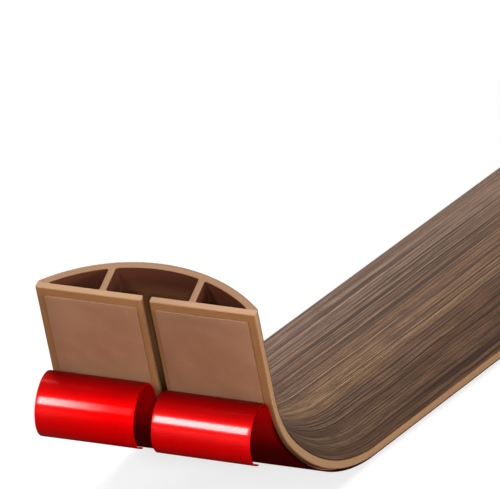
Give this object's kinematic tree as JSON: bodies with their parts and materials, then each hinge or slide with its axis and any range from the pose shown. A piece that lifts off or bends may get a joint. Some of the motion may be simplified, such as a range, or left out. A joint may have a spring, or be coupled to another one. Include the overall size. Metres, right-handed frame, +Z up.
{
  "type": "floor cord cover",
  "caption": "Low arched plastic strip that covers cords on a floor, with channels inside, a slit base, adhesive tape and peeled red liners at its raised end.",
  "frame": {"origin": "on the floor, under the middle of the whole object's box", "axes": "+Y runs along the strip away from its raised end, +X is across the strip, +Z is up"},
  "size_m": [0.06, 0.9736, 0.0709],
  "materials": {
    "brown_plastic": "matte soft brown extruded plastic",
    "wood_film": "satin film with a walnut pattern along the strip",
    "adhesive": "tacky pinkish brown adhesive tape",
    "red_liner": "glossy red release film"
  },
  "bodies": {
    "root": {"cover_body": "brown_plastic", "wood_film": "wood_film", "adhesive_tape_left": "adhesive", "adhesive_tape_right": "adhesive", "release_liner_left": "red_liner", "release_liner_right": "red_liner"}
  },
  "joints": []
}
